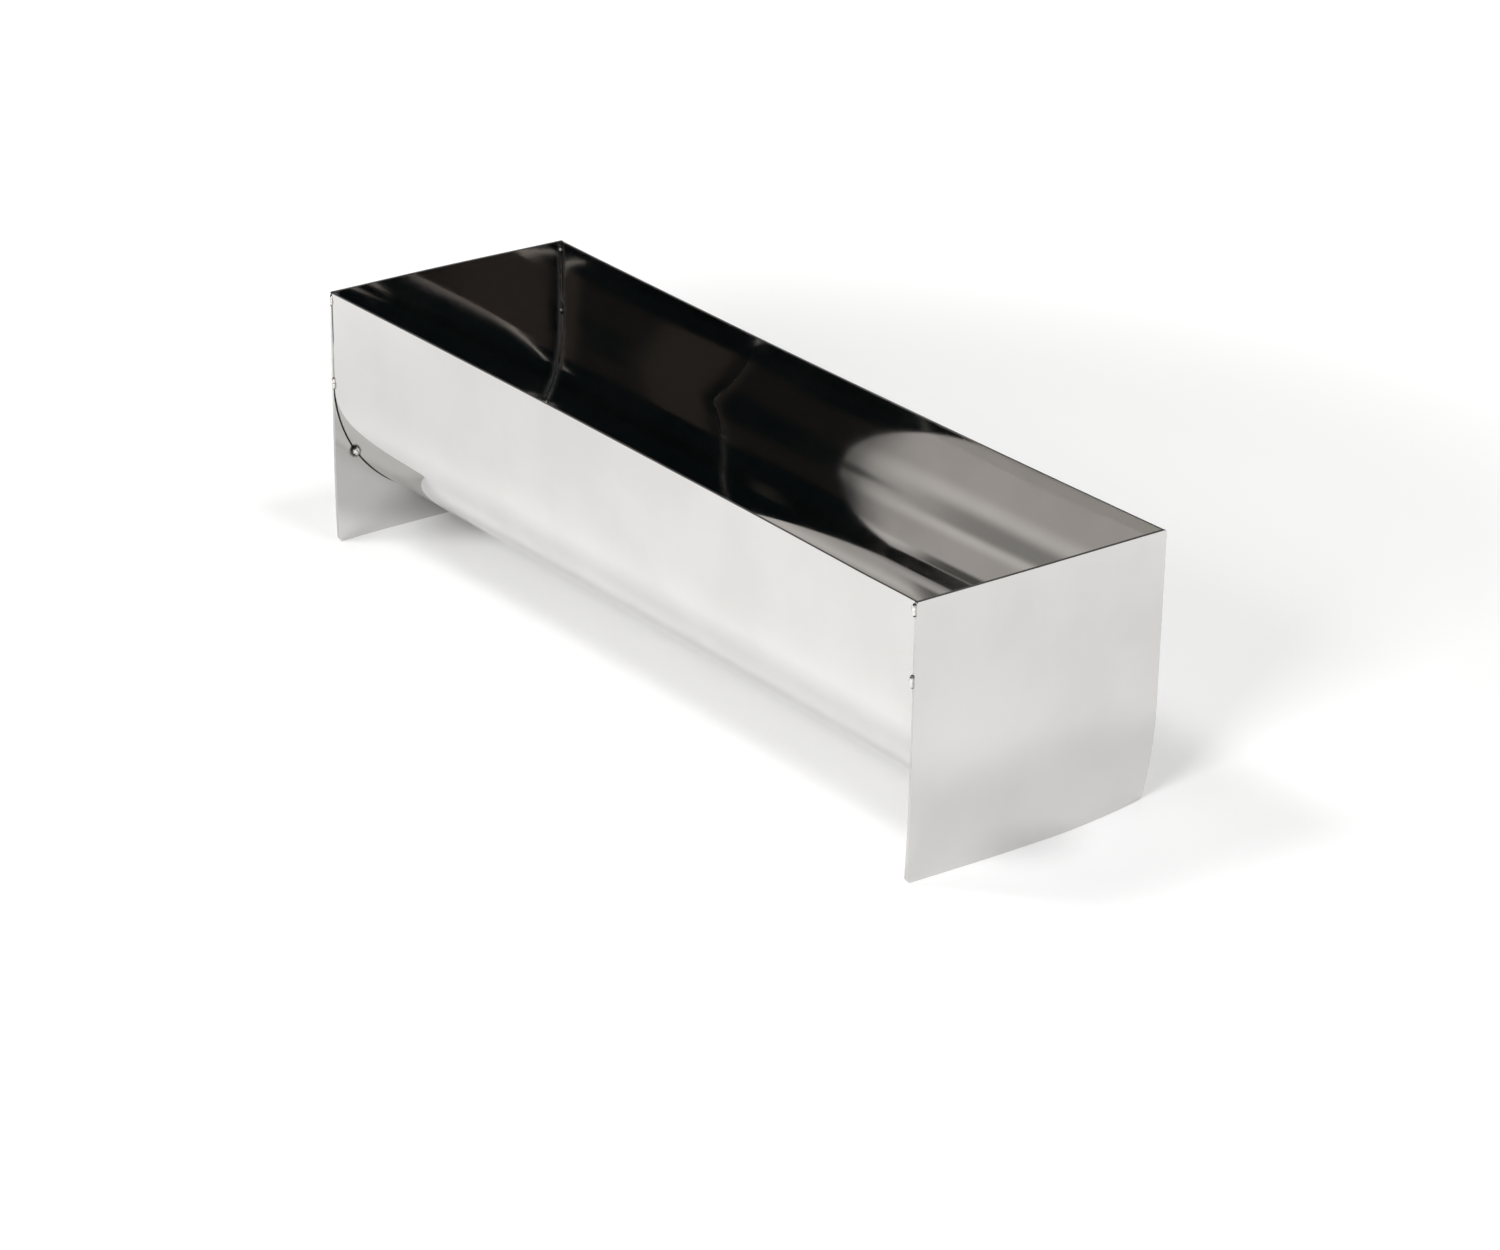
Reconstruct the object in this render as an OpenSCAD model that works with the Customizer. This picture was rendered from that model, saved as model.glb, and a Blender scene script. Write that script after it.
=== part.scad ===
// Open half-round trough in polished sheet steel, standing on two flat end plates.
// Millimetres. X runs along the trough, Y across it, Z is up.
// The origin is on the surface it stands on, under the middle of the trough.

/* [Trough] */
// Overall length, over both end plates
overall_length = 300; // [150:1:600]
// Width outside the side walls
trough_width = 90; // [60:1:160]
// Height of the straight wall above the half-round bottom
wall_height = 30; // [18:1:80]
// Thickness of the bent trough sheet
sheet_thickness = 0.8; // [0.5:0.1:2]

/* [End plates] */
// Thickness of each end plate
plate_thickness = 1; // [0.6:0.1:2]
// Clear height under the lowest line of the trough
foot_clearance = 11; // [5:1:50]
// Radius of the two lower corners
foot_corner_radius = 2; // [0.5:0.5:6]
// Radius of the two upper corners, where the edge is only dressed
rim_corner_radius = 0.6; // [0.2:0.1:2]

/* [Sprung corners] */
// Width of the lower edge of each plate that stays flat, between the two free corners that spring inwards
flat_foot_width = 8; // [2:1:20]
// Flat margin of plate left outside the tacks before a corner starts to roll
roll_margin = 0.2; // [0.1:0.1:3]
// How far the front corner of the left plate springs in
left_front_spring = 1.2; // [0.4:0.1:6]
// How far the back corner of the left plate springs in
left_back_spring = 1; // [0.4:0.1:6]
// How far the front corner of the right plate springs in
right_front_spring = 1; // [0.4:0.1:6]
// How far the back corner of the right plate springs in
right_back_spring = 4.4; // [0.4:0.1:6]

/* [Tack welds] */
// Open seam between the end of the trough sheet and the face of the plate
seam_gap = 0.2; // [0.1:0.05:0.4]
// Length of a tack on the straight walls, along the seam
wall_bead_length = 4; // [2:0.5:8]
// How far a tack on the straight walls stands proud of the sheet
wall_bead_radius = 0.8; // [0.5:0.1:1.2]
// Length of a tack in the corner under the half-round, along the seam
fillet_bead_length = 3.4; // [2:0.2:8]
// How far a tack in that corner reaches out over the sheet and the plate
fillet_bead_radius = 1.3; // [0.8:0.1:2.5]
// Length of the root that melts through to the inside
root_bead_length = 3; // [1.6:0.2:6]
// How far the root stands in from the inside of the sheet
root_bead_radius = 0.6; // [0.4:0.1:1]
// Radius of the blunt ends of every bead
bead_tip_radius = 0.25; // [0.1:0.05:0.4]
// Clear distance from the rim down to the top of a rim tack
rim_tack_margin = 0.6; // [0.4:0.1:6]
// Height of the higher wall tack above the start of the half-round
high_tack_rise = 6; // [0:0.5:9]
// Height of the lower wall tack above the start of the half-round, negative if below
low_tack_rise = -1; // [-3:0.5:9]
// Angle of a curve tack below level, seen from the trough's axis
curve_tack_angle = 34; // [20:1:60]
// Angle of the keel tack, straight down
keel_tack_angle = 90; // [80:1:100]

/* [Hidden] */
$fn = 96;

outer_radius = trough_width / 2;
inner_radius = outer_radius - sheet_thickness;
axis_height = foot_clearance + outer_radius;
overall_height = axis_height + wall_height;

plate_inner_x = overall_length / 2 - plate_thickness;
sheet_length = 2 * (plate_inner_x - seam_gap);
seam_x = plate_inner_x - seam_gap / 2;

// A free corner rolls along a line that starts at the end of the flat foot and passes just clear of the tacks
roll_offset = outer_radius + fillet_bead_radius + roll_margin;
flat_foot_end = flat_foot_width / 2;
flat_foot_bearing = atan2(flat_foot_end, axis_height);
roll_angle = flat_foot_bearing + acos(roll_offset / norm([flat_foot_end, axis_height]));
corner_reach = outer_radius * sin(roll_angle) + axis_height * cos(roll_angle) - roll_offset;
plate_reach = overall_height + trough_width;

// Radius of the outer face of a corner that springs in by a given amount at its tip
function roll_radius(spring) = (corner_reach * corner_reach + spring * spring) / (2 * spring);

// Half-round channel with straight walls, as a filled section about the trough's axis
module channel_section(radius) {
    intersection() {
        circle(radius);
        translate([-radius, -radius])
            square([2 * radius, radius]);
    }
    translate([-radius, 0])
        square([2 * radius, wall_height]);
}

// The trough: one sheet bent to a half-round with straight walls, open at both ends
module trough_sheet() {
    color("gainsboro")
    translate([0, 0, axis_height])
    rotate([90, 0, 90])
    linear_extrude(height = sheet_length, center = true)
    difference() {
        channel_section(outer_radius);
        channel_section(inner_radius);
    }
}

// Half the outline of an end plate, from its middle line out to one side edge
module half_outline() {
    lower = foot_corner_radius;
    upper = rim_corner_radius;
    square([outer_radius - lower, overall_height]);
    translate([0, lower])
        square([outer_radius - upper, overall_height - lower]);
    translate([0, lower])
        square([outer_radius, overall_height - lower - upper]);
    translate([outer_radius - lower, lower])
        circle(lower);
    translate([outer_radius - upper, overall_height - upper])
        circle(upper);
}

// Section through a plate square to its roll line: flat up to the line, then rolled inwards
module rolled_section(spring) {
    radius = roll_radius(spring);
    translate([-plate_reach, -plate_thickness])
        square([plate_reach, plate_thickness]);
    translate([0, -radius])
    intersection() {
        difference() {
            circle(radius, $fn = 360);
            circle(radius - plate_thickness, $fn = 360);
        }
        square([corner_reach + plate_thickness, radius]);
    }
}

// The half of the right plate behind its middle line, with its free lower corner sprung in
module half_plate(spring) {
    intersection() {
        translate([overall_length / 2 - plate_reach / 2, 0, 0])
        rotate([90, 0, 90])
        linear_extrude(height = plate_reach)
            half_outline();
        translate([overall_length / 2, 0, axis_height])
        rotate([roll_angle, 0, 0])
        rotate([90, 90, 0])
        linear_extrude(height = 2 * plate_reach, center = true)
        translate([roll_offset, 0])
            rolled_section(spring);
    }
}

// A whole plate at the right end, from two halves that meet flat at the middle line
module end_plate(front_spring, back_spring) {
    half_plate(back_spring);
    mirror([0, 1, 0])
        half_plate(front_spring);
}

// Turns a piece of the right end round to the left end
module at_left_end() {
    rotate([0, 0, 180])
        children();
}

module right_end_plate() {
    color("silver")
        end_plate(right_front_spring, right_back_spring);
}

module left_end_plate() {
    color("silver")
    at_left_end()
        end_plate(left_back_spring, left_front_spring);
}

// A bead of weld metal, thick in the middle and blunt at both ends, standing along Z
module bead(length, radius) {
    half = length / 2;
    belly = radius - bead_tip_radius;
    arc_radius = (half * half + belly * belly) / (2 * belly);
    rotate_extrude()
    intersection() {
        translate([radius - arc_radius, 0])
            circle(arc_radius);
        translate([0, -half])
            square([radius, length]);
    }
}

// One tack on the back half of the right seam: a bead outside, and its root through the gap.
// The angle turns it down round the half-round, and the rise lifts it up the straight wall.
module tack(angle, rise, length, radius) {
    translate([seam_x, 0, axis_height])
    rotate([-angle, 0, 0]) {
        translate([0, outer_radius, rise])
            bead(length, radius);
        translate([0, inner_radius, rise])
            bead(root_bead_length, root_bead_radius);
    }
}

// Weld metal fills what the sheet and the flat of the plate leave free
module seated_on_right_seam() {
    color("darkgray")
    difference() {
        children();
        trough_sheet();
        translate([plate_inner_x, -outer_radius, 0])
            cube([plate_reach, trough_width, overall_height]);
    }
}

// The two tacks just under the rim
module right_rim_tacks() {
    rise = wall_height - rim_tack_margin - wall_bead_length / 2;
    seated_on_right_seam() {
        tack(0, rise, wall_bead_length, wall_bead_radius);
        mirror([0, 1, 0])
            tack(0, rise, wall_bead_length, wall_bead_radius);
    }
}

// The two tacks part way down the straight walls, one higher than the other
module right_wall_tacks() {
    seated_on_right_seam() {
        tack(0, low_tack_rise, wall_bead_length, wall_bead_radius);
        mirror([0, 1, 0])
            tack(0, high_tack_rise, wall_bead_length, wall_bead_radius);
    }
}

// The two tacks in the corner between the half-round and the plate
module right_curve_tacks() {
    seated_on_right_seam() {
        tack(curve_tack_angle, 0, fillet_bead_length, fillet_bead_radius);
        mirror([0, 1, 0])
            tack(curve_tack_angle, 0, fillet_bead_length, fillet_bead_radius);
    }
}

// The single tack under the lowest line of the trough
module right_keel_tack() {
    seated_on_right_seam()
        tack(keel_tack_angle, 0, fillet_bead_length, fillet_bead_radius);
}

module left_rim_tacks() {
    at_left_end()
        right_rim_tacks();
}

module left_wall_tacks() {
    at_left_end()
        right_wall_tacks();
}

module left_curve_tacks() {
    at_left_end()
        right_curve_tacks();
}

module left_keel_tack() {
    at_left_end()
        right_keel_tack();
}

trough_sheet();
left_end_plate();
right_end_plate();
left_rim_tacks();
right_rim_tacks();
left_wall_tacks();
right_wall_tacks();
left_curve_tacks();
right_curve_tacks();
left_keel_tack();
right_keel_tack();
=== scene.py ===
# %% [markdown]
# # A half-round trough in polished steel
#
# The object is an open trough. One sheet is bent to a half-round with straight walls, and a flat plate
# closes each end. The plates run on below the half-round, so the trough stands on their lower edges, and
# a few small tack welds hold everything together.
#
# Polished steel has hardly any colour of its own: it shows the table and the room. So the lesson spends
# its care on three things: the small leans and waves of hand-bent sheet, the finish, and the room that is
# mirrored.

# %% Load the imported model
import math

import bmesh
import bpy
import numpy as np
from mathutils import Matrix, Vector


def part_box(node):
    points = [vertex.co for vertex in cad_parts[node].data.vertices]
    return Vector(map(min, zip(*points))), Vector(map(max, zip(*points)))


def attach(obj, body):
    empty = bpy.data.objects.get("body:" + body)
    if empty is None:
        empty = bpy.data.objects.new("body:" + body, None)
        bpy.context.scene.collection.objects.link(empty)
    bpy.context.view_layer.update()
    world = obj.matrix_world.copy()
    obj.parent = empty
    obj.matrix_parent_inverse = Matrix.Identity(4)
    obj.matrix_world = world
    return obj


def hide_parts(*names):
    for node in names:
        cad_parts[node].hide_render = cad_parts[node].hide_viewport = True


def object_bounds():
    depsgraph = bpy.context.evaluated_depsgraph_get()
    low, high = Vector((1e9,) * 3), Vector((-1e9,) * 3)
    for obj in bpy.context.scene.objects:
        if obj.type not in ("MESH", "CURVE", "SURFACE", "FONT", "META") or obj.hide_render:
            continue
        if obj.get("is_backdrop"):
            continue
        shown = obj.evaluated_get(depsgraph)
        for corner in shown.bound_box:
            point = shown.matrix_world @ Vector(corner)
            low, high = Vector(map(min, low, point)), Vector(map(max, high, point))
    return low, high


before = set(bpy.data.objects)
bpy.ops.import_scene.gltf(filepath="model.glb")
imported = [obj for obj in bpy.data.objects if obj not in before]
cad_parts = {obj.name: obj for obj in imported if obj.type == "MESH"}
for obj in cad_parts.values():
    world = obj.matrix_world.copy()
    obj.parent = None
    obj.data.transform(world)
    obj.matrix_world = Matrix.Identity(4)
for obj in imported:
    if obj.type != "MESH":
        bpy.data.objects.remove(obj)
cad_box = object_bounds()
print("nodes:", sorted(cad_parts))

# %% [markdown]
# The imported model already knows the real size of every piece, so the main sizes are read from it. Only the
# two thicknesses are written down, because a box round a bent sheet doesn't tell them.

# %% Sizes of the real object, in metres
mm = 0.001
sheet_thickness = 0.8 * mm
plate_thickness = 1.0 * mm

trough_low, trough_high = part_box("trough_sheet")
plate_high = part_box("right_end_plate")[1]
outer_radius = trough_high.y
inner_radius = outer_radius - sheet_thickness
middle_radius = outer_radius - sheet_thickness / 2
axis_height = trough_low.z + outer_radius
rim_height = trough_high.z
sheet_end = trough_high.x
plate_face = plate_high.x
plate_inner = plate_face - plate_thickness
seam_x = (sheet_end + plate_inner) / 2
print(f"half-round radius {outer_radius / mm:.1f} mm about a line {axis_height / mm:.1f} mm up")
print(f"rim at {rim_height / mm:.1f} mm, seams at {seam_x / mm:.2f} mm each side")

# %% [markdown]
# ## The camera
#
# The camera stands where the picture was taken from: in front of the right end, well above the rim, and
# with a long lens, because the far plate looks only a little smaller than the near one. Three turns set
# it: round the object, down towards it, and a small roll, since the picture is not quite level.

# %% Camera
camera_aim = Vector((13.7, 1.5, 17.7)) * mm
camera_distance = 1.365
camera_round = math.radians(52.87)
camera_down = math.radians(23.98)
camera_roll = math.radians(1.0)
camera_lens = 107.6

turn = Matrix.Rotation(camera_round, 4, "Z")
tilt = Matrix.Rotation(math.pi / 2 - camera_down, 4, "X")
roll = Matrix.Rotation(camera_roll, 4, "Z")
step_back = Matrix.Translation((0, 0, camera_distance))

camera = bpy.data.objects.new("camera", bpy.data.cameras.new("camera"))
camera.data.lens = camera_lens
camera.data.clip_end = 100
camera.matrix_world = Matrix.Translation(camera_aim) @ turn @ tilt @ step_back @ roll
bpy.context.collection.objects.link(camera)
bpy.context.scene.camera = camera
bpy.context.scene.view_settings.view_transform = "Standard"
print("camera at", [round(v, 3) for v in camera.matrix_world.translation])

# %% [markdown]
# ## The room
#
# What a mirror shows is the room, so the room is part of the finish. Sheet metal is usually photographed on
# a white table with one pale wall and one dark side: the pale wall gives the bright patch inside the trough,
# and the dark side gives the deep black beside it. The room could be modelled as walls, but a sky that
# changes with direction does the same with no objects in the way. Three helpers are enough to draw it: one
# adds a node, one makes a soft step, and one mixes two colours.

# %% Helpers for node trees
def add_node(tree, kind, **settings):
    """A new node with its settings made."""
    node = tree.nodes.new(kind)
    for setting, value in settings.items():
        setattr(node, setting, value)
    return node


def soft_step(tree, source, start, stop, low=0.0, high=1.0):
    """A smooth change from low to high while the source goes from start to stop."""
    step = add_node(tree, "ShaderNodeMapRange", interpolation_type="SMOOTHSTEP")
    step.inputs["From Min"].default_value = start
    step.inputs["From Max"].default_value = stop
    step.inputs["To Min"].default_value = low
    step.inputs["To Max"].default_value = high
    tree.links.new(source, step.inputs["Value"])
    return step.outputs["Result"]


def mixed_colour(tree, amount, first, second):
    """A colour that goes from first to second. Each is a colour or an output of another node."""
    mix = add_node(tree, "ShaderNodeMix", data_type="RGBA")
    tree.links.new(amount, mix.inputs["Factor"])
    for socket, colour in ((mix.inputs[6], first), (mix.inputs[7], second)):
        if isinstance(colour, bpy.types.NodeSocket):
            tree.links.new(colour, socket)
        else:
            socket.default_value = (*colour, 1)
    return mix.outputs[2]


print("helpers for node trees:", [helper.__name__ for helper in (add_node, soft_step, mixed_colour)])

# %% [markdown]
# Two numbers tell a direction in the room. One is how far it points along the trough. The other is its angle
# round the trough's length, because the walls and the half-round turn a ray almost only about that line.
# Everything in the room then covers a range of one or both.

# %% Directions in the room
world = bpy.data.worlds.new("room")
world.use_nodes = True
bpy.context.scene.world = world
room = world.node_tree
direction = add_node(room, "ShaderNodeTexCoord").outputs["Generated"]
parts = add_node(room, "ShaderNodeSeparateXYZ")
room.links.new(direction, parts.inputs[0])
round_trough = add_node(room, "ShaderNodeMath", operation="ARCTAN2")
room.links.new(parts.outputs["Z"], round_trough.inputs[0])
room.links.new(parts.outputs["Y"], round_trough.inputs[1])


def turned(start, stop):
    """0 to 1 between two angles round the length of the trough: 0 is level at the back, 90 straight up."""
    return soft_step(room, round_trough.outputs[0], math.radians(start), math.radians(stop))


def lengthways(start, stop):
    """0 to 1 between two directions along the trough: -1 is straight left, and 1 straight right."""
    return soft_step(room, parts.outputs["X"], start, stop)


def rising(start, stop):
    """0 below one elevation and 1 above another, in degrees."""
    low, high = math.sin(math.radians(start)), math.sin(math.radians(stop))
    return soft_step(room, parts.outputs["Z"], low, high)


print("world:", world.name)

# %% [markdown]
# A pale wall stands to the left, at the back. Above a dark strip at its foot it brightens on the far side,
# and a grey bench stands before the near side. Higher up come a lit strip, the ceiling, the bright front of
# the room, and a grey corner low in front. In the trough they become the bands along the bright patch.

# %% Left wall
dark_side = (0.006, 0.0095, 0.011)
low_wall = (0.72, 0.695, 0.68)
pale_wall = (0.72, 0.69, 0.67)
wall_light = (0.96, 0.93, 0.9)
bright_front = (1.0, 0.97, 0.94)
ceiling = (0.44, 0.43, 0.415)
ceiling_light = (0.78, 0.76, 0.74)
grey_bench = (0.13, 0.127, 0.123)
grey_corner = (0.13, 0.125, 0.12)

ceiling_part = mixed_colour(room, lengthways(-0.705, -0.722), ceiling, ceiling_light)
low_light = mixed_colour(room, turned(23, 33), low_wall, bright_front)
bench = mixed_colour(room, turned(22, 25), low_wall, grey_bench)
low_part = mixed_colour(room, lengthways(-0.716, -0.708), low_light, bench)
wall = mixed_colour(room, turned(13, 21), dark_side, low_part)
wall = mixed_colour(room, turned(31, 36), wall, pale_wall)
wall = mixed_colour(room, turned(60, 73), wall, wall_light)
wall = mixed_colour(room, turned(74, 87), wall, ceiling_part)
wall = mixed_colour(room, turned(125, 145), wall, bright_front)
wall = mixed_colour(room, turned(156, 160), wall, grey_corner)
print("left wall:", wall.node.name)

# %% [markdown]
# Farther left a dim doorway takes the wall's place, and it gives the bright patch its clear edge. It is a
# little wider overhead, so that edge has two lobes. The bright front of the room goes on past the doorway as
# a band, which lights the patch right up to the rim.

# %% Doorway
doorway_dim = (0.04, 0.04, 0.04)
doorway_widening = -0.008

door = mixed_colour(room, turned(34, 42), wall, doorway_dim)
door = mixed_colour(room, turned(115, 125), door, dark_side)
door = mixed_colour(room, turned(138, 146), door, bright_front)
door = mixed_colour(room, turned(153, 158), door, dark_side)
wider = soft_step(room, round_trough.outputs[0], math.radians(86), math.radians(92), 0, doorway_widening)
door_edge = add_node(room, "ShaderNodeMath", operation="ADD")
room.links.new(parts.outputs["X"], door_edge.inputs[0])
room.links.new(wider, door_edge.inputs[1])
in_door = soft_step(room, door_edge.outputs[0], -0.728, -0.7365)
left_side = mixed_colour(room, in_door, wall, door)
print("left side with its doorway:", left_side.node.name)

# %% [markdown]
# The right side is dark. Brown wood stands straight ahead in it, with a fainter glow beside the wood, and
# both warm the black of the left plate and the back wall. Low in front is a patch of grey. Below the horizon
# everything is the white table.

# %% Right side, and the whole room
brown_glow = (0.056, 0.0475, 0.041)
brown_faint = (0.02, 0.0185, 0.0175)
grey_front = (0.1, 0.098, 0.094)
table_white = (1.0, 1.0, 1.0)

wood = mixed_colour(room, turned(47, 53), dark_side, brown_glow)
wood = mixed_colour(room, turned(110, 120), wood, dark_side)
faint_wood = mixed_colour(room, turned(47, 53), dark_side, brown_faint)
faint_wood = mixed_colour(room, turned(72, 84), faint_wood, dark_side)
right_side = mixed_colour(room, lengthways(0.756, 0.768), faint_wood, wood)
front_part = mixed_colour(room, lengthways(0.722, 0.714), right_side, grey_front)
right_side = mixed_colour(room, turned(158, 167), right_side, front_part)

above = mixed_colour(room, lengthways(-0.15, -0.55), right_side, left_side)
sides = mixed_colour(room, rising(2.5, 5), table_white, above)
room.links.new(sides, room.nodes["Background"].inputs["Color"])
print("room:", len(room.nodes), "nodes, white table to the horizon, pale wall left, dark right")

# %% [markdown]
# ## The table
#
# The table is a wide disc with a pale matt paint. A table of real size would show its edges in the polished
# walls, so this one is many metres wide, and it is round so that no corner shows either.

# %% Table top
table_radius = 8.0
table_tone = (0.84, 0.84, 0.84)

table_mesh = bpy.data.meshes.new("table")
disc = bmesh.new()
bmesh.ops.create_circle(disc, cap_ends=True, radius=table_radius, segments=96)
disc.to_mesh(table_mesh)
disc.free()
table = bpy.data.objects.new("table", table_mesh)
bpy.context.collection.objects.link(table)
table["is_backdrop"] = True

table_paint = bpy.data.materials.new("table_paint")
table_paint.use_nodes = True
tree = table_paint.node_tree
tree.nodes.remove(tree.nodes["Principled BSDF"])
matt = add_node(tree, "ShaderNodeBsdfDiffuse")
matt.inputs["Color"].default_value = (*table_tone, 1)
table.data.materials.append(table_paint)
print(f"table: {table_radius} m from its middle to its edge")

# %% [markdown]
# A matt white alone would look grey wherever the lamps don't reach, so the table also glows a little for the
# camera and for mirrored rays. The glow grows outwards as the lamp light fades, and it is weak near the
# trough, so the trough keeps its own shadow. In the corner between each foot and the round bottom it is
# taken away, because little light gets in there.

# %% Glow of the table
glow_near, glow_far = 0.26, 1.0
near_reach, far_reach = 0.26, 0.62
foot_corner_place = (0.141, 0, 0)
dark_corner, open_corner = 0.004, 0.028


def product(tree, first, second):
    """One number times another."""
    times = add_node(tree, "ShaderNodeMath", operation="MULTIPLY")
    tree.links.new(first, times.inputs[0])
    tree.links.new(second, times.inputs[1])
    return times.outputs[0]


position = add_node(tree, "ShaderNodeTexCoord").outputs["Object"]
distance = add_node(tree, "ShaderNodeVectorMath", operation="LENGTH")
tree.links.new(position, distance.inputs[0])
strength = soft_step(tree, distance.outputs["Value"], near_reach, far_reach, glow_near, glow_far)
either_end = add_node(tree, "ShaderNodeVectorMath", operation="ABSOLUTE")
tree.links.new(position, either_end.inputs[0])
from_corner = add_node(tree, "ShaderNodeVectorMath", operation="DISTANCE")
from_corner.inputs[1].default_value = foot_corner_place
tree.links.new(either_end.outputs[0], from_corner.inputs[0])
open_table = soft_step(tree, from_corner.outputs["Value"], dark_corner, open_corner)

light_path = add_node(tree, "ShaderNodeLightPath")
seen = light_path.outputs["Is Camera Ray"]
for ray in ("Is Glossy Ray", "Is Transmission Ray"):
    either = add_node(tree, "ShaderNodeMath", operation="MAXIMUM")
    tree.links.new(seen, either.inputs[0])
    tree.links.new(light_path.outputs[ray], either.inputs[1])
    seen = either.outputs[0]
shine = add_node(tree, "ShaderNodeEmission")
tree.links.new(product(tree, product(tree, seen, strength), open_table), shine.inputs["Strength"])
both = add_node(tree, "ShaderNodeAddShader")
tree.links.new(matt.outputs[0], both.inputs[0])
tree.links.new(shine.outputs[0], both.inputs[1])
tree.links.new(both.outputs[0], tree.nodes["Material Output"].inputs["Surface"])
print("table paint:", len(tree.nodes), "nodes")

# %% [markdown]
# ## The lamps
#
# Three soft lamps light the table from in front, from the right and from the left. All hang where the
# trough's mirrored view doesn't reach them. The left one draws a soft shadow behind the right plate, and the
# other two brighten the table towards that end, as the polished front wall shows.

# %% Soft lamps
lamp_width = 0.3


def soft_lamp(name, place, power):
    """A square studio lamp that looks at the middle of the trough."""
    lamp = bpy.data.objects.new(name, bpy.data.lights.new(name, "AREA"))
    lamp.data.energy = power
    lamp.data.size = lamp_width
    towards = Vector((0, 0, axis_height)) - Vector(place)
    turn = towards.to_track_quat("-Z", "Y").to_matrix().to_4x4()
    lamp.matrix_world = Matrix.Translation(place) @ turn
    bpy.context.collection.objects.link(lamp)
    return lamp


soft_lamp("front_lamp", (0.43, -0.75, 0.5), 5.8)
soft_lamp("right_lamp", (0.45, 0.1, 1.25), 5.4)
soft_lamp("left_lamp", (-0.4, -0.42, 1.06), 4.9)

# %% [markdown]
# A thin strip lamp beyond the right end is there for its mirror image. The left plate shows it as a thin
# bright line, and again as a faint mark near the rim. A line could be painted on the plate, but then it
# would stay in place when the view turns. A lamp gives a line that moves as a real reflection does.

# %% Strip lamp
strip_start = Vector((0.5, 0.1855, 0.379))
strip_stop = Vector((0.5, 0.345, 0.301))
strip_width = 0.004
strip_glow = 1.35
strip_tone = (1, 0.94, 0.88)

strip_along = (strip_stop - strip_start).normalized()
strip_middle = (strip_start + strip_stop) / 2
strip_back = (strip_middle - Vector((0, 0, axis_height))).normalized()
strip_across = strip_back.cross(strip_along).normalized()
strip_back = strip_along.cross(strip_across)
strip = bpy.data.objects.new("strip_lamp", bpy.data.lights.new("strip_lamp", "AREA"))
strip.data.shape = "RECTANGLE"
strip.data.size = (strip_stop - strip_start).length
strip.data.size_y = strip_width
strip.data.energy = strip_glow * math.pi * strip.data.size * strip_width
strip.data.color = strip_tone
turn = Matrix((strip_along, strip_across, strip_back)).transposed().to_4x4()
strip.matrix_world = Matrix.Translation(strip_middle) @ turn
bpy.context.collection.objects.link(strip)
print(f"strip lamp: {strip.data.size / mm:.0f} mm long")

# %% [markdown]
# ## The tack welds, as places
#
# A tack is a bead with a dark brown scorch ring on the sheet round it, painted almost black so that the ring is
# also a painted shade round the bead. The bead and the ring need the same places, so the places come first.
# One end of the trough is the other turned half round, which puts the higher wall tack in front on the right
# and at the back on the left. The heights are read from the packed model, and a tack under the half-round also
# follows the bottom, which climbs a little to the right.

# %% Places of the tacks
wall_bead = (4.0 * mm, 0.8 * mm)
fillet_bead = (3.4 * mm, 1.3 * mm)
curve_angle = math.radians(34)
keel_angle = math.radians(90)
climb = 0.008

rim_low, rim_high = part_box("right_rim_tacks")
wall_low, wall_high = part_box("right_wall_tacks")
rim_rise = (rim_low.z + rim_high.z) / 2 - axis_height
low_rise = wall_low.z + wall_bead[0] / 2 - axis_height
high_rise = wall_high.z - wall_bead[0] / 2 - axis_height

# Each tack of the right end: its side of the trough, its angle below level, its rise up the wall, its bead
FRONT, BACK = -1, 1
right_tacks = {
    "rim_tacks": [(FRONT, 0, rim_rise, wall_bead), (BACK, 0, rim_rise, wall_bead)],
    "wall_tacks": [(FRONT, 0, high_rise, wall_bead), (BACK, 0, low_rise, wall_bead)],
    "curve_tacks": [(FRONT, curve_angle, 0, fillet_bead), (BACK, curve_angle, 0, fillet_bead)],
    "keel_tack": [(BACK, keel_angle, 0, fillet_bead)],
}
print("wall tacks rise", round(low_rise / mm, 2), "and", round(high_rise / mm, 2), "mm above the half-round")

# %% [markdown]
# A point on the seam follows from each place. The tacks under the half-round were left as they were welded,
# and the others were dressed afterwards, so each tack also has a strength for its scorch and painted shade.

# %% Points of the tacks
def end_turn(end):
    """The half turn that takes the right end to the left end, or nothing for the right end."""
    return Matrix.Rotation(math.pi if end == "left" else 0, 4, "Z")


def tack_point(end, side, angle, rise, radius):
    """The point on a seam where a tack sits, at a given distance from the trough's axis."""
    y = radius * math.cos(angle) + rise * math.sin(angle)
    z = axis_height - radius * math.sin(angle) + rise * math.cos(angle)
    point = end_turn(end) @ Vector((seam_x, side * y, z))
    point.z += climb * point.x * math.sin(angle)
    return point


tint_and_shade = {"rim_tacks": 0.45, "wall_tacks": 0.45, "curve_tacks": 1.0, "keel_tack": 1.0}
tack_points = [
    (tack_point(end, side, angle, rise, outer_radius), tint_and_shade[group])
    for end in ("left", "right")
    for group in right_tacks
    for side, angle, rise, bead in right_tacks[group]
]
print(len(tack_points), "tacks")

# %% [markdown]
# ## The bent sheet
#
# A drawn or extruded section would be dead straight, and in a mirror finish the eye sees at once that it is.
# The real sheet was bent by hand over a former, and its reflections give every lean away. So the sheet is a
# fine grid of points in the middle of its thickness. A Solidify modifier then gives it the thickness, and a
# small Bevel dresses its edges.

# %% Sheet from a grid of points
edge_dressing = 0.12 * mm


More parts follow.
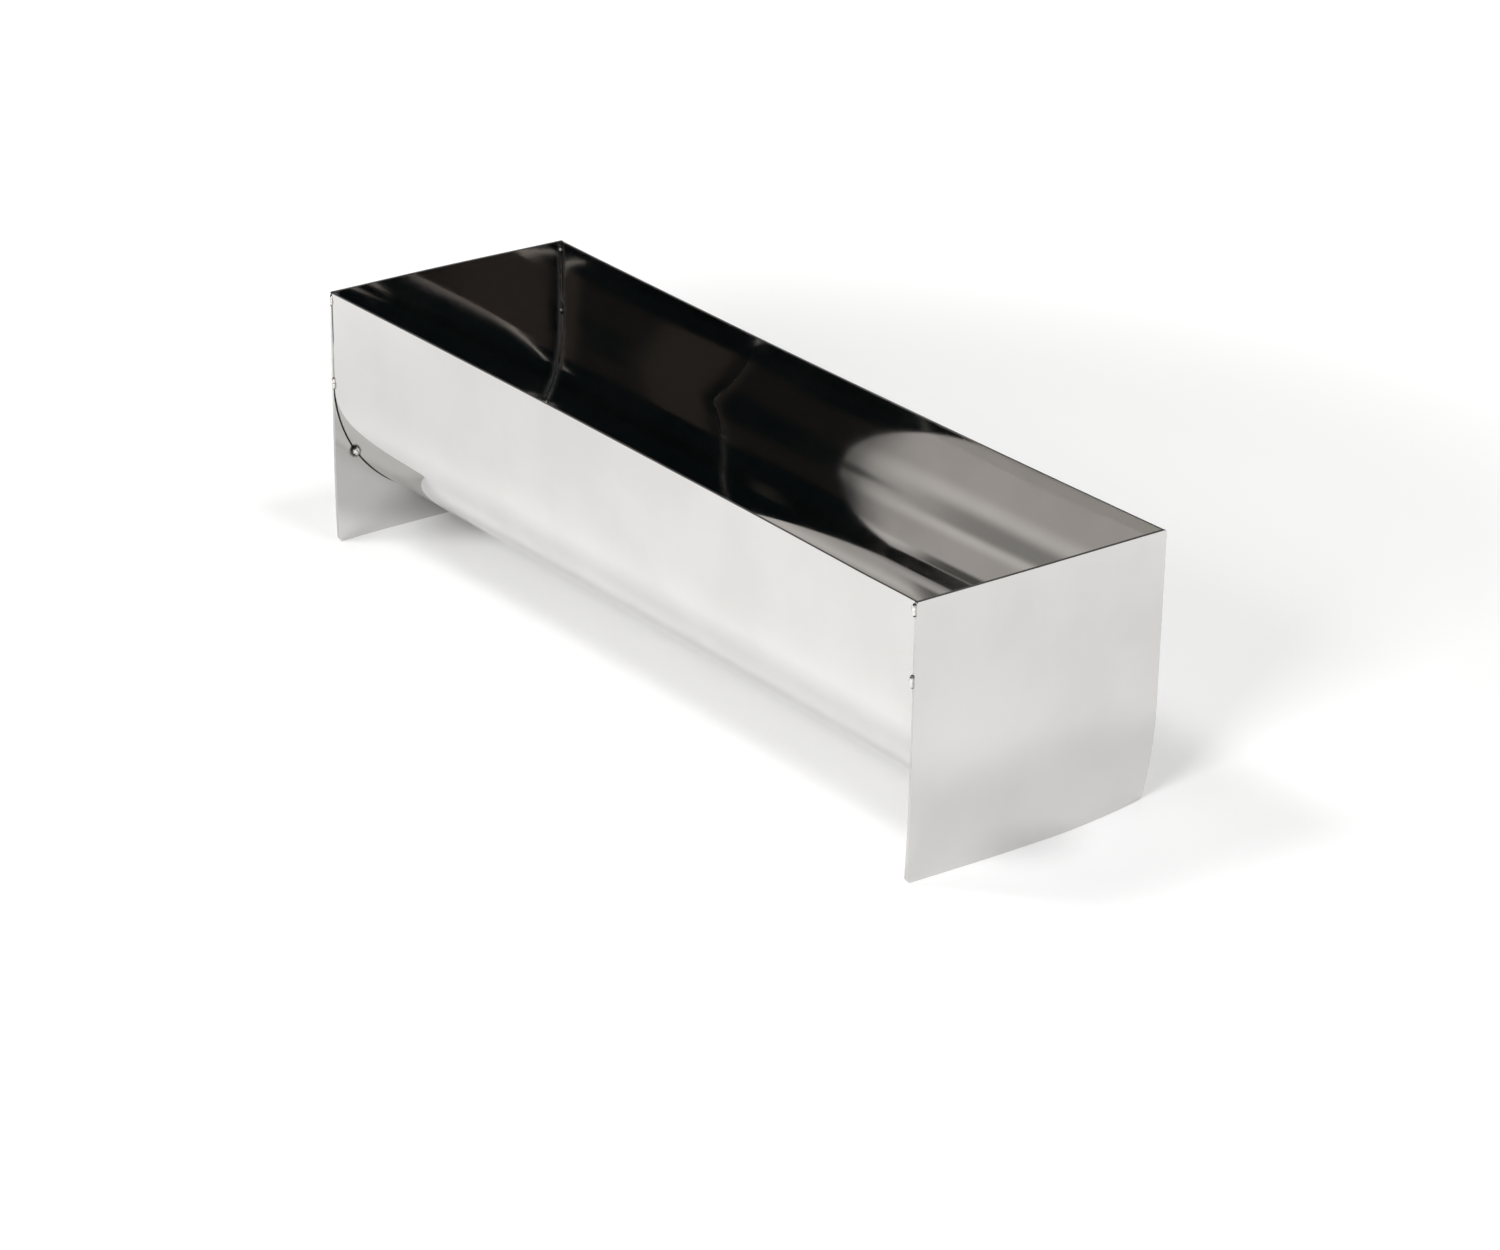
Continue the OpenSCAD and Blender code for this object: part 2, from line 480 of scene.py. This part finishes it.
def graded_lines(low, high, margin, fine, coarse):
    """Grid lines from low to high that lie close together within a margin of both ends."""
    near = np.arange(0, margin, fine)
    count = math.ceil((high - low - 2 * margin) / coarse)
    middle = np.linspace(low + margin, high - margin, count + 1)
    return np.concatenate([low + near, middle, (high - near)[::-1]])


def sheet_piece(name, points, thickness, offset):
    """A piece of sheet metal from a grid of points: rows, columns, and x, y and z."""
    rows, columns, _ = points.shape
    index = np.arange(rows * columns).reshape(rows, columns)
    corners = (index[:-1, :-1], index[1:, :-1], index[1:, 1:], index[:-1, 1:])
    faces = np.stack(corners, axis=-1).reshape(-1, 4)
    mesh = bpy.data.meshes.new(name)
    mesh.from_pydata(points.reshape(-1, 3).tolist(), [], faces.tolist())
    mesh.shade_smooth()
    piece = bpy.data.objects.new(name, mesh)
    bpy.context.collection.objects.link(piece)
    solid = piece.modifiers.new("thickness", "SOLIDIFY")
    solid.thickness = thickness
    solid.offset = offset
    solid.use_even_offset = True
    solid.material_offset = 1
    solid.material_offset_rim = 2
    edge = piece.modifiers.new("dressed_edge", "BEVEL")
    edge.width = edge_dressing
    edge.segments = 2
    edge.limit_method = "ANGLE"
    edge.angle_limit = math.radians(50)
    edge.harden_normals = True
    return piece


print(f"edges of every sheet are dressed by {edge_dressing / mm:.2f} mm")

# %% [markdown]
# The section is a half-round with a straight wall on each side. Each point of it is kept as a direction out
# from the bend line and a share of the wall above it, so that the bend line can move later without the wall
# and the half-round coming apart.

# %% Section of the sheet
wall_steps = 24
arc_steps = 100

wall_share = np.linspace(1, 0, wall_steps, endpoint=False)
arc = np.linspace(math.pi, 2 * math.pi, arc_steps + 1)
no_wall = np.zeros(arc_steps + 1)
wall_part = np.concatenate([wall_share, no_wall, wall_share[::-1]])
out_y = np.concatenate([-np.ones(wall_steps), np.cos(arc), np.ones(wall_steps)])
out_z = np.concatenate([np.zeros(wall_steps), np.sin(arc), np.zeros(wall_steps)])
print("section:", len(wall_part), "points from rim to rim")

# %% [markdown]
# The reflections show how the real sheet departs from a plain section. The bend line sits a millimetre
# higher and climbs to the right. The walls are drawn in by 1.4 mm half way between the plates. Both lean
# forwards by about a degree, the front wall outwards and the back wall inwards, and the front one comes
# upright again over the last 25 mm before the right plate, where it is held flush. At the right the sheet
# also runs on a little, which closes the seam there.

# %% Grid of the bent sheet
closing = 0.17 * mm
waist = 1.4 * mm
bend_lift = 1.0 * mm
bend_softness = 1.0 * mm
front_lean = 0.015
back_lean = 0.02
flush_length = 25 * mm
end_margin, fine_step, coarse_step = 8 * mm, 0.8 * mm, 2.4 * mm


def soft_rise(height):
    """Height above a bend: zero below it, and growing smoothly from it."""
    above = np.clip(height, 0, None)
    return np.sqrt(above**2 + bend_softness**2) - bend_softness


along = graded_lines(-sheet_end, sheet_end + closing, end_margin, fine_step, coarse_step)
x, out_y = np.meshgrid(along, out_y, indexing="ij")
out_z = np.broadcast_to(out_z, x.shape)
bend_z = axis_height + bend_lift + climb * x
depth = axis_height + bend_lift - trough_low.z - sheet_thickness / 2
y = middle_radius * out_y
z = bend_z + depth * out_z + (rim_height - bend_z) * wall_part

between_plates = 1 - (x / sheet_end) ** 2
y = y * (1 - waist / middle_radius * between_plates)
to_plate = np.clip((sheet_end - x) / flush_length, 0, 1)
front_share = to_plate**2 * (3 - 2 * to_plate)
y = y - np.where(y < 0, front_lean * front_share, back_lean) * soft_rise(z - bend_z)
print("grid:", x.shape, "points, back rim at", round(y[:, -1].min() / mm, 2), "mm in the waist")

# %% [markdown]
# Long shallow waves, a few hundredths of a millimetre high, cross the sheet and make the reflections swim.
# They follow the length and the path round the section, and die out at the plates. After them the sheet is
# built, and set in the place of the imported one.

# %% Bent trough sheet
wave_height = 0.03 * mm

step_y = np.diff(y, axis=1, prepend=y[:, :1])
step_z = np.diff(z, axis=1, prepend=z[:, :1])
path = np.cumsum(np.hypot(step_y, step_z), axis=1)
waves = np.sin(x / (17 * mm) + 2.1 * np.sin(path / (31 * mm)))
waves += 0.7 * np.sin(x / (29 * mm) - path / (23 * mm) + 1.3)
push_out = wave_height * waves * between_plates
sheet_points = np.stack([x, y + out_y * push_out, z + out_z * push_out], axis=-1)
bent_sheet = sheet_piece("bent_sheet", sheet_points, sheet_thickness, 0)
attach(bent_sheet, "root")
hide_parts("trough_sheet")
print("bent sheet:", len(bent_sheet.data.polygons), "faces in its middle surface")

# %% [markdown]
# The seams carry marks: scorch at the tacks, painted almost black so that it is also a painted shade round each
# bead, and a satin band inside where the seam was dressed. Where the seam stays open runs a dark line of
# painted shade. The band covers the whole seam at the back, and only the wall part at the front. The line is
# widest near the rim. The marks could be drawn as a picture, but numbers on the grid points need no picture:
# the finish reads them later by their names.

# %% Marks on the bent sheet
sheet_tint_and_shade_reach = 1.9 * mm
gape = 0.6
gape_from, gape_fade = 66 * mm, 4 * mm
front_dressed_from, front_fade = 27 * mm, 8 * mm
back_fade = 10 * mm
satin_width, satin_fade = 2.5 * mm, 1.2 * mm


def paint(piece, name, values):
    """Stores one number per grid point, for the material to read."""
    layer = piece.data.attributes.new(name, "FLOAT", "POINT")
    layer.data.foreach_set("value", np.asarray(values, dtype=np.float32).ravel())


def tint_and_shade_near_tacks(points, reach):
    """Scorch and painted shade at each point: the tack's strength at the tack, and fading over the reach."""
    heat = np.zeros(points.shape[:-1])
    for tack, strength in tack_points:
        away = np.linalg.norm(points - np.array(tack), axis=-1)
        heat = np.maximum(heat, strength * np.exp(-((away / reach) ** 2)))
    return heat


def dressed_share(across, up):
    """How far the seam was dressed: all of it at the back, and only the wall part at the front."""
    up_the_wall = (up - front_dressed_from) / front_fade
    return np.clip(np.maximum(up_the_wall, across / back_fade), 0, 1)


satin = np.clip((np.abs(x) - (sheet_end - satin_width)) / satin_fade, 0, 1)
gaping = np.clip((z - gape_from) / gape_fade, 0, 1)
paint(bent_sheet, "tint_and_shade", tint_and_shade_near_tacks(sheet_points, sheet_tint_and_shade_reach))
paint(bent_sheet, "satin", satin * dressed_share(y, z))
paint(bent_sheet, "off_seam", (x + sheet_end) / mm * (1 - gape * gaping))
print("marks:", [layer.name for layer in bent_sheet.data.attributes if layer.data_type == "FLOAT"])

# %% [markdown]
# ## The end plates
#
# Each plate is a flat blank with two lower corners cut round and two upper ones only dressed. Its lower
# corners are free, and welding has pulled them in a little, most of all at the back of the right plate. A
# cube with bevels can't roll like that, so the plate is also a grid. At each corner the square of the
# grid is squeezed into a quarter disc, which keeps every face four-sided.

# %% Blank of a plate
foot_corner = 2.0 * mm
rim_corner = 0.6 * mm
corner_steps = 6
half_width = outer_radius


def plate_lines(low, high, low_corner, high_corner, coarse):
    """Grid lines across a plate, with close ones inside the corner squares."""
    first = low + np.linspace(0, low_corner, corner_steps)[:-1]
    count = math.ceil((high - low - low_corner - high_corner) / coarse)
    middle = np.linspace(low + low_corner, high - high_corner, count + 1)
    last = high - np.linspace(0, high_corner, corner_steps)[:-1]
    return np.concatenate([first, middle, last[::-1]])


def round_corners(across, up, corner, at_foot):
    """Squeezes the squares at the two foot corners, or the two rim corners, into quarter discs."""
    square_y = (np.abs(across) - (half_width - corner)) / corner
    if at_foot:
        square_z = (corner - up) / corner
    else:
        square_z = (up - (rim_height - corner)) / corner
    inside = (square_y > 0) & (square_z > 0)
    a = np.where(inside, square_y, 0)
    b = np.where(inside, square_z, 0)
    moved_y = (a * np.sqrt(1 - b**2 / 2) - a) * corner
    moved_z = (b * np.sqrt(1 - a**2 / 2) - b) * corner
    return across + np.sign(across) * moved_y, up - moved_z if at_foot else up + moved_z


print(f"blank: {2 * half_width / mm:.0f} by {rim_height / mm:.0f} mm")

# %% [markdown]
# A free corner rolls in along a line that passes just clear of the tacks, as a sheet does when it springs.
# Inside the seam the plate bulges outwards like the skin of a drum. That is less than a millimetre, but it
# bends what the plate mirrors.

# %% Spring and bulge of a plate
flat_foot = 8.0 * mm
roll_clearance = 0.2 * mm
rim_hold = 0.3

roll_offset = outer_radius + fillet_bead[1] + roll_clearance
roll_angle = math.atan2(flat_foot / 2, axis_height)
roll_angle += math.acos(roll_offset / math.hypot(flat_foot / 2, axis_height))
corner_reach = half_width * math.sin(roll_angle) + axis_height * math.cos(roll_angle) - roll_offset


def rolled_in(across, up, spring):
    """How far a free lower corner has sprung in, for one value of spring per point."""
    radius = (corner_reach**2 + spring**2) / (2 * spring)
    from_axis = np.abs(across) * math.sin(roll_angle) - (up - axis_height) * math.cos(roll_angle)
    past_line = np.clip(from_axis - roll_offset, 0, None)
    return radius - np.sqrt(radius**2 - past_line**2)


def drum(across, up):
    """1 in the middle of the mouth, and flat zero from the seam outwards, as a skin held at its rim."""
    below = np.clip(axis_height - up, 0, None)
    towards_rim = np.clip(up - axis_height, 0, None) / (rim_height - axis_height)
    skin = np.clip(1 - (across**2 + below**2) / middle_radius**2, 0, None) ** 2
    return skin * (1 - rim_hold * towards_rim**2)


print(f"a free corner reaches {corner_reach / mm:.1f} mm past its roll line")

# %% [markdown]
# Both plates come from one function. Only the spring of their corners and the height of the bulge differ. The
# seam's marks go onto a plate as they do onto the sheet, at their distance from the end of the sheet.

# %% Both end plates
end_springs = {
    "left": {"front": 1.2 * mm, "back": 1.0 * mm},
    "right": {"front": 1.0 * mm, "back": 4.4 * mm},
}
mouth_bulge = {"left": 0.8 * mm, "right": 0.2 * mm}
plate_wave = 0.03 * mm
plate_grid = 1.2 * mm
plate_tint_and_shade_reach = 2.2 * mm
plate_satin_width, plate_satin_fade = 3.2 * mm, 1.4 * mm
far_off = 9.0


def off_the_sheet(end, across, up):
    """How far a point of a plate lies outside the end of the sheet, negative inside it."""
    bend = axis_height + bend_lift + climb * (sheet_end if end == "right" else -sheet_end)
    below = np.clip(bend - up, 0, None) / (depth + sheet_thickness / 2)
    return (np.hypot(across / outer_radius, below) - 1) * outer_radius


def end_plate(end):
    """One end plate, as a grid in its outer face with its thickness towards the trough."""
    lines_y = plate_lines(-half_width, half_width, foot_corner, foot_corner, plate_grid)
    lines_z = plate_lines(0, rim_height, foot_corner, rim_corner, plate_grid)
    across, up = np.meshgrid(lines_y, lines_z, indexing="ij")
    across, up = round_corners(across, up, foot_corner, at_foot=True)
    across, up = round_corners(across, up, rim_corner, at_foot=False)
    spring = np.where(across < 0, end_springs[end]["front"], end_springs[end]["back"])
    ripple = np.sin(across / (15 * mm) + 1.7 * np.sin(up / (26 * mm))) * np.sin(up / (21 * mm) + 0.6)
    out = plate_face - rolled_in(across, up, spring)
    out = out + mouth_bulge[end] * drum(across, up) + plate_wave * ripple
    facing = 1 if end == "right" else -1
    points = np.stack([facing * out, across, up], axis=-1)
    if end == "left":
        points = points[::-1]
    plate = sheet_piece(end + "_plate", points, plate_thickness, -1)
    across, up = points[..., 1], points[..., 2]
    off = off_the_sheet(end, across, up)
    past_edge = np.clip((off + sheet_thickness) / sheet_thickness, 0, 1)
    satin = np.clip((plate_satin_width + off) / plate_satin_fade, 0, 1) * (1 - past_edge)
    paint(plate, "tint_and_shade", tint_and_shade_near_tacks(points, plate_tint_and_shade_reach))
    paint(plate, "satin", satin * dressed_share(across, up))
    paint(plate, "off_seam", np.where(up < axis_height, off / mm, far_off))
    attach(plate, "root")
    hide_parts(end + "_end_plate")
    return plate


end_plates = {end: end_plate(end) for end in ("left", "right")}
print("plates:", {end: len(plate.data.polygons) for end, plate in end_plates.items()})

# %% [markdown]
# ## The beads
#
# A tack is a short bead: thick in the middle, blunt at its ends, with a few ripples where the metal
# froze. It could be a plain sphere that is stretched, but even at this size the ripples catch the light. So
# each bead is a small turned body whose radius ripples, and a thinner one is the root that melted through to
# the inside. Each point also keeps how near it is to the bright crown in the middle of its bead.

# %% One bead
bead_rings = 22
bead_sides = 18
blunt_end = 0.3
end_cut = 0.97
ripple_depth = 0.07
ripple_count = 3


def bead_into(build, crowns, raw_share, length, radius, place, facing_limit):
    """Adds one rippled bead to a mesh under construction, with its outer side ending inside the plate."""
    rings = []
    for step in np.linspace(-1, 1, bead_rings):
        swell = blunt_end + (1 - blunt_end) * math.sqrt(1 - (end_cut * step) ** 2)
        ripple = 1 + ripple_depth * math.cos(math.pi * ripple_count * step)
        ring = []
        for angle in np.linspace(0, 2 * math.pi, bead_sides, endpoint=False):
            r = radius * swell * ripple
            point = place @ Vector((r * math.cos(angle), r * math.sin(angle), step * length / 2))
            point.x = max(-facing_limit, min(facing_limit, point.x))
            ring.append(build.verts.new(point))
            crowns.append(1 - raw_share * abs(step))
        rings.append(ring)
    for lower, upper in zip(rings, rings[1:]):
        for side in range(bead_sides):
            following = (side + 1) % bead_sides
            build.faces.new((lower[side], lower[following], upper[following], upper[side]))
    build.faces.new(rings[0][::-1])
    build.faces.new(rings[-1])


print("one bead:", bead_rings * bead_sides, "points")

# %% [markdown]
# All tacks of one kind at one end are one piece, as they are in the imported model. The roots have only a small
# bright crown, and where the back wall leans in they move in with it.

# %% Beads at every tack
root_bead = (3.0 * mm, 0.6 * mm)
root_raw = 2.2
raw_ends = {"rim_tacks": 0.78, "wall_tacks": 0.78, "curve_tacks": 1.0, "keel_tack": 1.0}
bead_limit = plate_inner + 0.4 * mm


def bead_place(end, side, angle, rise, radius):
    """Where a bead stands and how it is turned, so that its length follows the seam."""
    seam = Matrix.Translation(tack_point(end, side, angle, rise, radius))
    return seam @ end_turn(end) @ Matrix.Rotation(-side * angle, 4, "X")


def with_the_wall(place):
    """The place of a root bead, moved in where the back wall leans in."""
    middle = place.translation
    lean = back_lean * max(0, middle.z - axis_height) if middle.y > 0 else 0
    return Matrix.Translation((0, -lean, 0)) @ place


def tack_group(end, group):
    """All tacks of one kind at one end, as one piece."""
    build = bmesh.new()
    crowns = []
    for side, angle, rise, bead in right_tacks[group]:
        place = bead_place(end, side, angle, rise, outer_radius)
        bead_into(build, crowns, raw_ends[group], *bead, place, bead_limit)
        root_place = with_the_wall(bead_place(end, side, angle, rise, inner_radius))
        bead_into(build, crowns, root_raw, *root_bead, root_place, bead_limit)
    bmesh.ops.recalc_face_normals(build, faces=build.faces)
    mesh = bpy.data.meshes.new(end + "_" + group)
    build.to_mesh(mesh)
    build.free()
    mesh.shade_smooth()
    beads = bpy.data.objects.new(end + "_" + group + "_beads", mesh)
    bpy.context.collection.objects.link(beads)
    paint(beads, "crown", crowns)
    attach(beads, "root")
    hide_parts(end + "_" + group)
    return beads


beads = [tack_group(end, group) for end in ("left", "right") for group in right_tacks]
print("bead groups:", [b.name for b in beads])

# %% [markdown]
# ## The finish
#
# Mirror-polished stainless sheet is not a perfect mirror. Polishing leaves a faint haze in cloudy patches and
# very fine lines along the sheet. A plain metal with low roughness would be quicker, but it looks like chrome
# plate. So noise in wide clouds changes the tone and the haze, and noise that is drawn out along the trough
# makes the lines as a very low bump.

# %% Haze and polishing lines
cloud_scale = 26
line_scale = (30, 1500, 1500)
line_height = 0.0005 * mm


def cloudiness(tree, place):
    """Soft clouds over the sheet, as a number about a half."""
    clouds = add_node(tree, "ShaderNodeTexNoise")
    clouds.inputs["Scale"].default_value = cloud_scale
    clouds.inputs["Detail"].default_value = 4
    tree.links.new(place, clouds.inputs["Vector"])
    return clouds.outputs["Fac"]


def polishing_lines(tree, place):
    """Very fine lines along the trough, as a bump."""
    stretch = add_node(tree, "ShaderNodeMapping")
    stretch.inputs["Scale"].default_value = line_scale
    tree.links.new(place, stretch.inputs["Vector"])
    lines = add_node(tree, "ShaderNodeTexNoise")
    lines.inputs["Scale"].default_value = 1
    lines.inputs["Detail"].default_value = 2
    tree.links.new(stretch.outputs[0], lines.inputs["Vector"])
    bump = add_node(tree, "ShaderNodeBump")
    bump.inputs["Distance"].default_value = line_height
    bump.inputs["Strength"].default_value = 0.5
    tree.links.new(lines.outputs["Fac"], bump.inputs["Height"])
    return bump.outputs[0]


print(f"polishing lines are {line_height / mm * 1000:.1f} thousandths of a millimetre high")

# %% [markdown]
# The marks lie over the polish: dark brown scorch at the tacks, painted almost black as a shade round each
# bead, a painted shade in the open seam, a cut edge that is darker at the very rim, and the satin band. Each
# reads a number that was painted on the grid, except the dark rim edge, which is told by its height.

# %% Marks in the finish
# The first colour is the brown scorch, painted almost black so that it is also a painted shade round each bead.
tint_and_shade_colour = (0.055, 0.045, 0.04)
# The second colour is a painted shade in the open seam.
seam_shade_colour = (0.06, 0.055, 0.05)
# The third colour darkens the cut edge at the very rim.
rim_edge_dark = (0.07, 0.067, 0.064)
rim_dark_from, rim_dark_full = 0.4 * mm, 0.2 * mm
seam_inner_edge, seam_outer_edge = (-0.5, -0.2), (0.42, 0.2)


def painted(tree, name):
    """The number that was painted on the grid points under a name."""
    return add_node(tree, "ShaderNodeAttribute", attribute_name=name).outputs["Fac"]


def in_the_seam(tree):
    """1 in the open seam, and 0 from half a millimetre off it, or more where the seam gapes."""
    off = painted(tree, "off_seam")
    return product(tree, soft_step(tree, off, *seam_inner_edge), soft_step(tree, off, *seam_outer_edge))


def at_the_rim(tree, place):
    """1 at the very rim, and 0 from 0.4 mm below it."""
    height = add_node(tree, "ShaderNodeSeparateXYZ")
    tree.links.new(place, height.inputs[0])
    return soft_step(tree, height.outputs["Z"], rim_height - rim_dark_from, rim_height - rim_dark_full)


def satin_over(tree, roughness, satin_roughness):
    """The roughness of the polish, and that of the satin where the seam was dressed."""
    dull = add_node(tree, "ShaderNodeMix", data_type="FLOAT")
    dull.inputs[3].default_value = satin_roughness
    tree.links.new(painted(tree, "satin"), dull.inputs["Factor"])
    tree.links.new(roughness, dull.inputs[2])
    return dull.outputs[0]


print("marks: scorch", tint_and_shade_colour, "seam_shade", seam_shade_colour, "dark_rim edge", rim_edge_dark)

# %% [markdown]
# One function puts the polish and the marks together, and its settings give the four finishes of the sheets:
# the outside of the trough, the outside of the plates, the inside of both, and the cut edges.

# %% Polished sheet
tone_range, haze_range = (0.36, 0.66), (0.32, 0.7)
deepest_tint_and_shade = 0.9


def polished_sheet(name, tones, haze, tint_and_shade_edges, satin_roughness=None, seam_line=False, darker_rim_edge=False):
    """Stainless sheet with cloudy haze and fine polishing lines, and with the marks that are asked for."""
    material = bpy.data.materials.new(name)
    material.use_nodes = True
    tree = material.node_tree
    shader = tree.nodes["Principled BSDF"]
    shader.inputs["Metallic"].default_value = 1.0
    place = add_node(tree, "ShaderNodeTexCoord").outputs["Object"]
    clouds = cloudiness(tree, place)
    tone = mixed_colour(tree, soft_step(tree, clouds, *tone_range), *tones)
    roughness = soft_step(tree, clouds, *haze_range, *haze)
    # The scorch ring, darkened almost to black as a painted shade round each bead.
    if tint_and_shade_edges:
        ring = soft_step(tree, painted(tree, "tint_and_shade"), *tint_and_shade_edges, 0, deepest_tint_and_shade)
        tone = mixed_colour(tree, ring, tone, tint_and_shade_colour)
    # A painted shade in the open seam.
    if seam_line:
        tone = mixed_colour(tree, in_the_seam(tree), tone, seam_shade_colour)
    # The cut edge, darker at the very rim.
    if darker_rim_edge:
        tone = mixed_colour(tree, at_the_rim(tree, place), tone, rim_edge_dark)
    if satin_roughness:
        roughness = satin_over(tree, roughness, satin_roughness)
    tree.links.new(tone, shader.inputs["Base Color"])
    tree.links.new(roughness, shader.inputs["Roughness"])
    tree.links.new(polishing_lines(tree, place), shader.inputs["Normal"])
    return material


polish = ((0.645, 0.637, 0.625), (0.615, 0.607, 0.595))
edge = ((0.6, 0.59, 0.58), (0.5, 0.49, 0.48))
outer_haze, inner_haze, edge_haze = (0.03, 0.07), (0.025, 0.055), (0.25, 0.38)
raw, dressed = (0.15, 0.4), (0.5, 0.9)
seam_satin = 0.22
sheet_outside = polished_sheet("sheet_outside", polish, outer_haze, dressed, seam_line=True)
plate_outside = polished_sheet("plate_outside", polish, outer_haze, None)
inside = polished_sheet("inside", polish, inner_haze, raw, seam_satin, seam_line=True)
cut_edge = polished_sheet("cut_edge", edge, edge_haze, dressed, darker_rim_edge=True)

for piece, outside in (
    (bent_sheet, sheet_outside),
    (end_plates["left"], plate_outside),
    (end_plates["right"], plate_outside),
):
    for material in (outside, inside, cut_edge):
        piece.data.materials.append(material)
    print(piece.name, [m.name for m in piece.data.materials])

# %% [markdown]
# Weld metal is bare. It is bright on the crown of a bead, and dark and scaly at the ends, where it cooled
# last against the sheet. A fine grain breaks the edge between the two, so no two beads look alike.

# %% Weld metal
weld_bright = (0.68, 0.665, 0.65)
weld_dark = (0.035, 0.03, 0.028)
grain_scale = 1100
grain_height = 0.05 * mm
crown_edge = (0.8, 1.05)
grain_range, weld_haze = (0.35, 0.65), (0.1, 0.3)


def weld_metal():
    """Bare weld metal: bright on the crown, dark and scaly at the ends."""
    material = bpy.data.materials.new("weld_bead")
    material.use_nodes = True
    tree = material.node_tree
    shader = tree.nodes["Principled BSDF"]
    shader.inputs["Metallic"].default_value = 1.0
    place = add_node(tree, "ShaderNodeTexCoord").outputs["Object"]
    grain = add_node(tree, "ShaderNodeTexNoise")
    grain.inputs["Scale"].default_value = grain_scale
    grain.inputs["Detail"].default_value = 2
    tree.links.new(place, grain.inputs["Vector"])
    crown = add_node(tree, "ShaderNodeMath", operation="ADD")
    tree.links.new(painted(tree, "crown"), crown.inputs[0])
    tree.links.new(grain.outputs["Fac"], crown.inputs[1])
    bright = soft_step(tree, crown.outputs[0], *crown_edge)
    tree.links.new(mixed_colour(tree, bright, weld_dark, weld_bright), shader.inputs["Base Color"])
    haze = soft_step(tree, grain.outputs["Fac"], *grain_range, *weld_haze)
    tree.links.new(haze, shader.inputs["Roughness"])
    bump = add_node(tree, "ShaderNodeBump")
    bump.inputs["Distance"].default_value = grain_height
    bump.inputs["Strength"].default_value = 0.3
    tree.links.new(grain.outputs["Fac"], bump.inputs["Height"])
    tree.links.new(bump.outputs[0], shader.inputs["Normal"])
    return material


bead_metal = weld_metal()
for group in beads:
    group.data.materials.append(bead_metal)
print("weld finish on", len(beads), "bead groups")

# %% [markdown]
# ## Measure and finish
#
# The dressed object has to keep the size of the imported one, so both boxes are written down side by side.

# %% Sizes and the last check
new_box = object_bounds()
for name, box in (("CAD", cad_box), ("visual", new_box)):
    print(name, "box in mm:", [round(v / mm, 2) for v in box[1] - box[0]])
